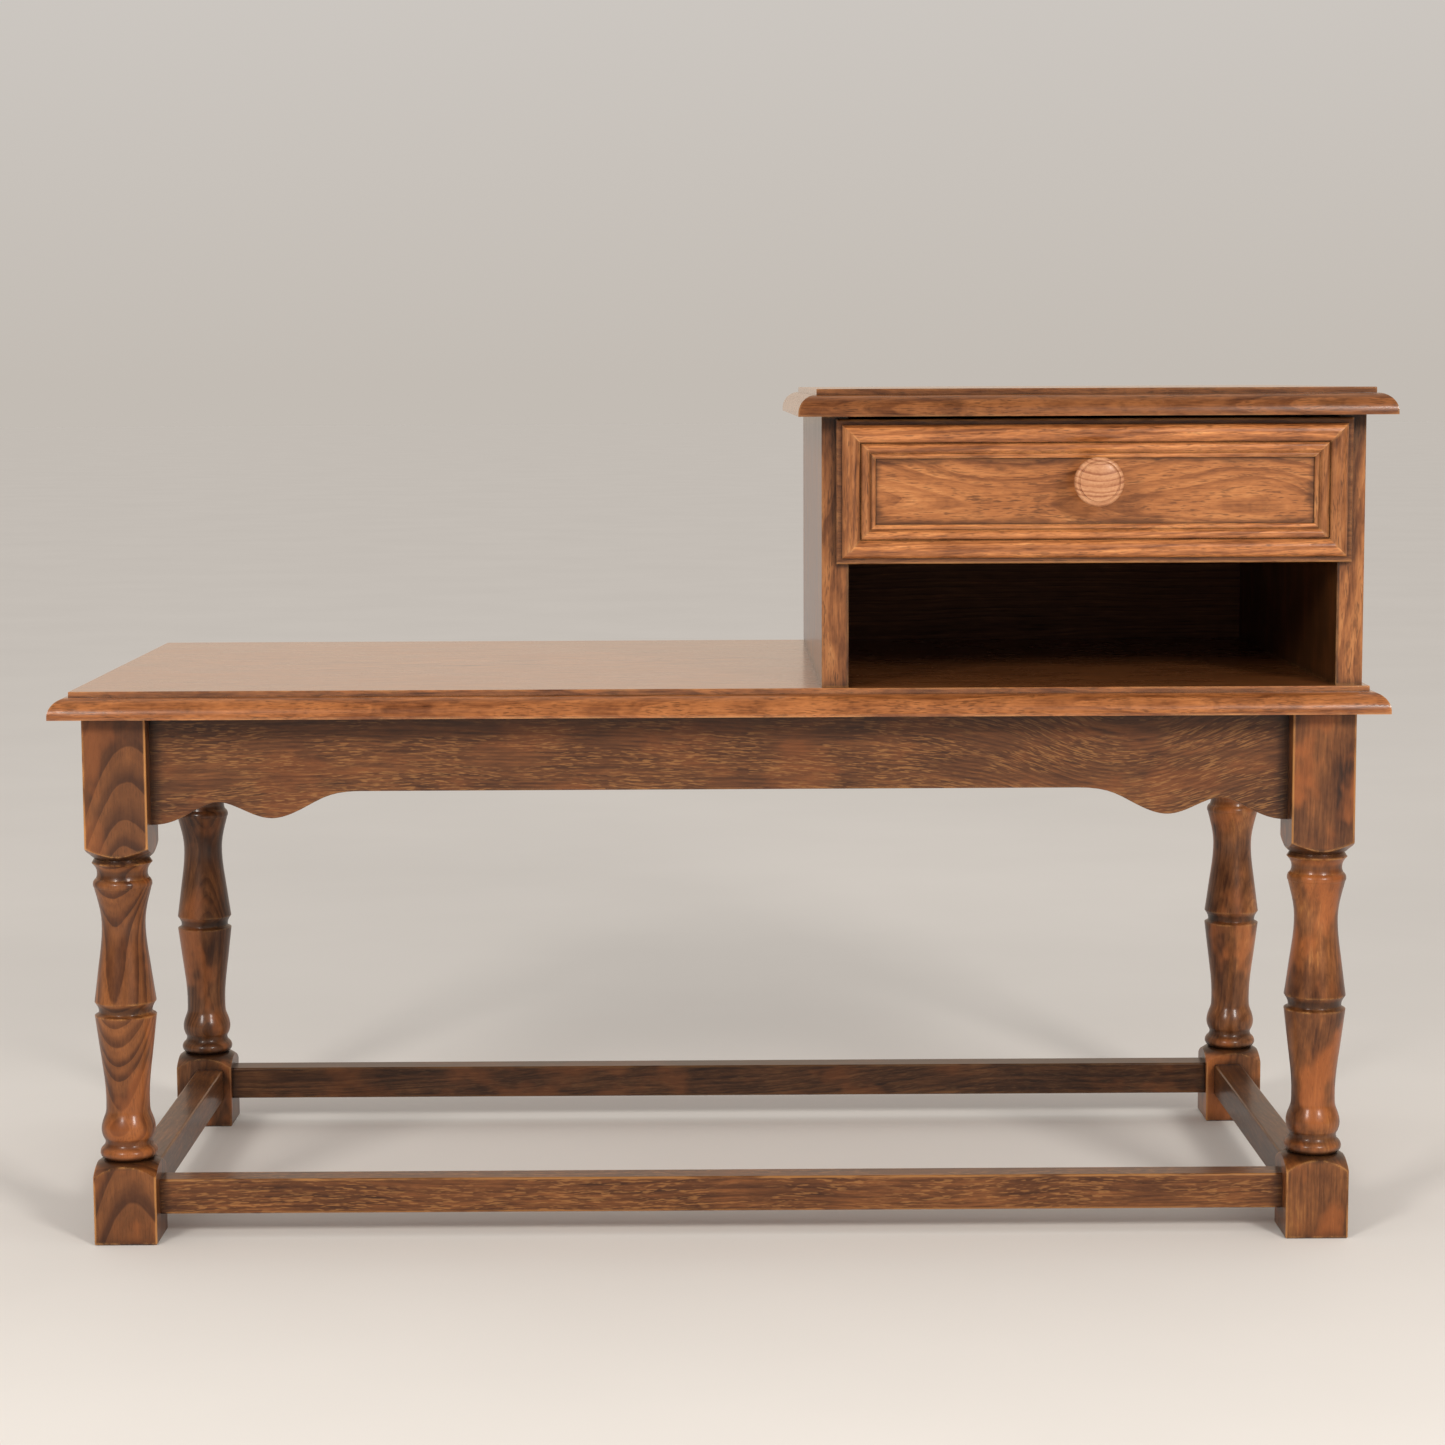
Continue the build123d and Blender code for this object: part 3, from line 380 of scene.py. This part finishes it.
# ------------------------------------------------------------------ every piece's own wood
# Stain left in the turned hollows: height above the middle of the leg, half width, strength.
HOLLOWS = [(0.0885, 0.0055, 0.7), (0.0765, 0.0045, 0.4), (-0.0215, 0.0045, 0.6),
           (-0.1187, 0.0045, 0.45), (-0.1312, 0.0055, 0.7)]


def block_darkening(foot, top):
    """Darker towards the bottom of the foot and towards the top of the block of a leg, as strong as
    said.
    """
    return [(2, -0.126, -0.136, foot), (2, 0.086, 0.096, top)]


# Half length of the rails between their shoulders, along the bench and across it.
LONG_RAIL = 0.405
SHORT_RAIL = 0.158
APRON = dict(look=BEECH, fleck=0.4, rings=0.5, shade=0.6)
STRETCHER = dict(look=BEECH, fleck=0.3, rings=0.4)
REAR_LEG = dict(look=BEECH, along="z", wobble=0.008, coarse=0.6, arris=0.4, bands=HOLLOWS)
FRONT_LEG = dict(look=BEECH, along="z", wear=0.8, arris=0.7, bands=HOLLOWS)
# Darker towards the top of a cabinet side: painted shadow under the cabinet top, with some dirt.
SHADE_AND_DIRT_UNDER_TOP = (2, 0.055, 0.09, 0.75)
MOULDING = dict(look=GOLDEN, pith=(0.03, 0.05), grime=1.0, flame=0.38, near=0.007)

woods = {
    "front_left_leg": {**FRONT_LEG, **dict(
        pith=(0.008, 0.035), lean=0.16, seed=3.1, wobble=0.003, ring=-0.0042, rings=0.85,
        blotch=0.4, shade=0.98, orange=0.4, coarse=0.35, stains=block_darkening(0.26, 0.34))},
    "front_right_leg": {**FRONT_LEG, **dict(
        pith=(0.09, 0.02), lean=0.03, seed=7.7, wobble=0.006, blotch=1.1, rings=0.25, shade=0.78,
        orange=0.8, coarse=0.6, stains=block_darkening(0.22, 0.14))},
    "rear_left_leg": {**REAR_LEG, **dict(
        pith=(0.02, -0.07), lean=0.05, seed=11.3, blotch=0.9, rings=0.5, shade=0.6, orange=0.9,
        patch=22, cast=(0.96, 1.0, 0.98))},
    "rear_right_leg": {**REAR_LEG, **dict(
        pith=(-0.05, 0.05), lean=-0.05, seed=15.9, blotch=1.0, rings=0.3, shade=0.88, orange=0.8,
        cast=(1.0, 1.03, 0.98))},
    # The front apron is painted darker towards its top edge, as painted shadow under the seat, and
    # towards its ends, as painted shade beside the legs.
    "front_apron": {**APRON, **dict(
        along="x", pith=(0.05, -0.16), lean=0.012, seed=19.4, wobble=0.006, fleck=0.6, shade=0.58,
        rings=0.45, orange=0.3, free=LONG_RAIL, blotch=0.35, coarse=0.8,
        swirls=[((-0.01, 0.01, 0.29), 0.085, 0.036)],
        stains=[(2, 0.022, 0.042, 0.6), (0, 0.392, 0.407, 0.5), (0, -0.392, -0.407, 0.5)])},
    "rear_apron": {**APRON, **dict(along="x", pith=(0.04, 0.10), seed=23.8, free=LONG_RAIL)},
    "left_apron": {**APRON, **dict(along="y", pith=(0.05, 0.12), seed=27.2, free=SHORT_RAIL)},
    "right_apron": {**APRON, **dict(along="y", pith=(0.06, -0.1), seed=31.6, free=SHORT_RAIL)},
    "front_stretcher": {**STRETCHER, **dict(
        along="x", pith=(0.05, 0.11), lean=0.01, seed=35.0, fleck=0.5, shade=0.68,
        free=LONG_RAIL, arris=0.8, blotch=0.4, coarse=0.8)},
    "rear_stretcher": {**STRETCHER, **dict(
        along="x", pith=(0.05, 0.06), lean=0.05, seed=39.5, wobble=0.012, fleck=0.2, rings=0.6,
        shade=0.3, orange=0.6, cast=(0.95, 1.0, 0.96), free=LONG_RAIL, arris=0.4)},
    "left_stretcher": {**STRETCHER, **dict(
        along="y", pith=(0.05, 0.05), seed=43.9, shade=0.48, free=SHORT_RAIL, arris=0.5)},
    "right_stretcher": {**STRETCHER, **dict(
        along="y", pith=(-0.05, 0.05), seed=47.3, shade=0.36, free=SHORT_RAIL, arris=0.5)},
    "seat_board": dict(
        look=OAK, along="x", pith=(0.02, -0.11), lean=0.008, seed=51.7, shade=0.95, blotch=0.16,
        flame=0.4),
    "cabinet_top": dict(
        look=OAK, along="x", pith=(-0.03, -0.09), seed=55.2, shade=0.62, blotch=0.16, flame=0.45),
    # The cabinet sides are also painted darker on the face towards the compartment: painted shade
    # inside it.
    "cabinet_left_side": dict(
        look=GOLDEN, along="z", pith=(0.08, 0.1), seed=59.6, shade=0.64, blotch=0.5,
        stains=[SHADE_AND_DIRT_UNDER_TOP, (0, 0.007, 0.0085, 0.8)]),
    "cabinet_right_side": dict(
        look=GOLDEN, along="z", pith=(0.08, 0.1), seed=63.1, shade=0.76, blotch=0.5,
        stains=[SHADE_AND_DIRT_UNDER_TOP, (0, -0.007, -0.0085, 0.8)]),
    "cabinet_shelf": dict(look=DARK, along="x", seed=67.5),
    # The back's colour is brightened four and a half times: painted light that lightens the back of
    # the dark compartment.
    "cabinet_back": dict(look=DARK, along="x", seed=97.4, wear=0.0, grime=0.2, shade=4.5),
    "cabinet_dowels": dict(look=BOX, along="z", seed=121.1, wear=0.0, grime=0.0),
    "drawer_front": dict(
        look=GOLDEN, along="x", pith=(0.03, 0.0), lean=0.03, seed=71.9, wobble=0.016, shade=0.9,
        flame=0.5, blotch=0.22, coarse=0.8, grime=0.7, near=0.006, arris=0.5,
        halo=[(0, 0.153), (2, 0.023)],
        swirls=[((0.0, 0.0, -0.06), 0.07, 0.012), ((0.0, 0.01, 0.12), 0.06, -0.01)]),
    "drawer_moulding_bottom": {**MOULDING, **dict(along="x", seed=76.3, shade=1.12)},
    "drawer_moulding_top": {**MOULDING, **dict(along="x", seed=80.8, near=0.005, shade=1.14)},
    "drawer_moulding_left": {**MOULDING, **dict(along="z", seed=84.2, shade=0.76)},
    "drawer_moulding_right": {**MOULDING, **dict(along="z", seed=88.6, shade=0.72)},
    "drawer_knob": dict(
        look=RAW, along="y", pith=(0.002, 0.042), ring=0.0044, seed=93.1, wear=0.0, grime=0.15,
        wobble=0.002, shade=0.9),
    "drawer_bottom": dict(look=BOX, along="x", seed=101.7, wear=0.0),
}
# Plain pale wood: the rest of the drawer box, and the corner blocks.
for name, along, seed in (
        ("drawer_inner_front", "x", 105.3), ("drawer_left_side", "y", 109.9),
        ("drawer_right_side", "y", 113.2), ("drawer_back", "x", 117.6),
        ("corner_block_front_left", "z", 125.4), ("corner_block_front_right", "z", 129.8),
        ("corner_block_rear_left", "z", 133.2), ("corner_block_rear_right", "z", 137.5)):
    woods[name] = dict(look=BOX, along=along, seed=seed, wear=0.2)

steel = make_steel("fixings")
for name, piece in nodes.items():
    material = make_wood(name, **woods[name]) if name in woods else steel
    if not piece.material_slots:
        piece.data.materials.append(material)
    for slot in piece.material_slots:
        slot.material = material


# ------------------------------------------------------------------ floor
def make_floor():
    """A pale round floor: rings of growing radius about the bench, all at height 0."""
    spokes, rounds = 96, 14
    nearest, farthest = 0.4, 40.0
    turn = np.linspace(0, 2 * np.pi, spokes + 1)[:-1]
    reach = np.geomspace(nearest, farthest, rounds)
    x = reach[:, None] * np.cos(turn)
    y = reach[:, None] * np.sin(turn)
    rim = np.stack([x, y, np.zeros_like(x)], -1).reshape(-1, 3)
    points = np.vstack([rim, [[0.0, 0.0, 0.0]]])
    ring, place = np.meshgrid(np.arange(rounds - 1), np.arange(spokes), indexing="ij")
    after = (place + 1) % spokes
    inner, outer = ring * spokes, (ring + 1) * spokes
    quads = np.stack([inner + place, outer + place, outer + after, inner + after],
                     -1).reshape(-1, 4)
    first = np.arange(spokes)
    middle = np.stack([first, (first + 1) % spokes, np.full(spokes, len(points) - 1)], -1)
    mesh = bpy.data.meshes.new("floor")
    mesh.from_pydata(points.tolist(), [], quads.tolist() + middle.tolist())
    floor = bpy.data.objects.new("floor", mesh)
    bpy.context.scene.collection.objects.link(floor)
    finish = Finish("pale_floor")
    here = finish.add("ShaderNodeTexCoord").outputs["Object"]
    cloudy = finish.noise(finish.scaled(here, 3, 3, 3), 3.0, 0.55)
    colour = finish.ramp(cloudy, [(0.3, tint(226, 221, 215)), (0.7, tint(229, 224, 218))])
    mesh.materials.append(finish.done(Base_Color=colour, Roughness=0.9,
                                      Specular_IOR_Level=0.0))
    return floor


make_floor()


# ------------------------------------------------------------------ light
def add_softbox(name, place, aim, size, power):
    """A square soft light at place, facing aim."""
    lamp = bpy.data.lights.new(name, "AREA")
    lamp.shape = "SQUARE"
    lamp.size = size
    lamp.energy = power
    lamp.color = (1.0, 0.965, 0.92)
    holder = bpy.data.objects.new(name, lamp)
    bpy.context.scene.collection.objects.link(holder)
    holder.location = place
    holder.rotation_euler = (Vector(aim) - Vector(place)).to_track_quat("-Z", "Y").to_euler()


bench_middle = (0.0, 0.0, 0.3)
add_softbox("soft_light_left", (-1.35, -2.45, 1.5), bench_middle, 0.5, 30)
add_softbox("soft_light_right", (1.35, -2.45, 1.5), bench_middle, 0.5, 38)


horizon_colour = tint(195, 188, 180)
zenith_colour = tint(220, 217, 214)
back_colour = tint(222, 202, 183)
room_colour = tint(70, 62, 56)


def make_sky():
    """Even studio light: the horizon is as bright as the far floor, and it grows upwards.  The
    gloss mirrors a warm pale wall behind the bench and a dim room in front of it."""
    sky = bpy.data.worlds.new("studio")
    sky.use_nodes = True
    tree = sky.node_tree

    def add(kind, **inputs):
        node = tree.nodes.new(kind)
        for key, socket in inputs.items():
            tree.links.new(socket, node.inputs[key])
        return node

    def band(socket, place, first, last):
        ramp = add("ShaderNodeValToRGB", Fac=socket)
        ramp.color_ramp.elements[0].color = first
        ramp.color_ramp.elements[1].position = place
        ramp.color_ramp.elements[1].color = last
        return ramp.outputs["Color"]

    parts = add("ShaderNodeSeparateXYZ", Vector=add("ShaderNodeTexCoord").outputs["Generated"])
    plain = band(parts.outputs["Z"], 0.35, horizon_colour, zenith_colour)
    toward_back = tree.nodes.new("ShaderNodeMapRange")
    tree.links.new(parts.outputs["Y"], toward_back.inputs["Value"])
    toward_back.inputs["From Min"].default_value = -0.5
    mirrored = band(toward_back.outputs[0], 0.9, room_colour, back_colour)
    pick = tree.nodes.new("ShaderNodeMix")
    pick.data_type = "RGBA"
    tree.links.new(add("ShaderNodeLightPath").outputs["Is Glossy Ray"], pick.inputs[0])
    tree.links.new(plain, pick.inputs[6])
    tree.links.new(mirrored, pick.inputs[7])
    tree.links.new(pick.outputs[2], tree.nodes["Background"].inputs["Color"])
    return sky


bpy.context.scene.world = make_sky()
bpy.context.scene.view_settings.view_transform = "Standard"

# ------------------------------------------------------------------ camera
camera_place = Vector((-0.0104, -2.3957, 0.6175))
camera_yaw, camera_pitch, camera_roll = 0.0056, 0.1091, -0.0043
focal_length, frame_width = 3153.66, 1445
right = Vector((math.cos(camera_yaw), -math.sin(camera_yaw), 0))
ahead = Vector((math.sin(camera_yaw) * math.cos(camera_pitch),
                math.cos(camera_yaw) * math.cos(camera_pitch), -math.sin(camera_pitch)))
above = right.cross(ahead)
side = math.cos(camera_roll) * right + math.sin(camera_roll) * above
top = math.cos(camera_roll) * above - math.sin(camera_roll) * right
turned = Matrix((side, top, -ahead)).transposed().to_4x4()
lens = bpy.data.cameras.new("camera")
lens.sensor_width = 36.0
lens.lens = lens.sensor_width * focal_length / frame_width
camera = bpy.data.objects.new("camera", lens)
bpy.context.scene.collection.objects.link(camera)
camera.matrix_world = Matrix.Translation(camera_place) @ turned
bpy.context.scene.camera = camera
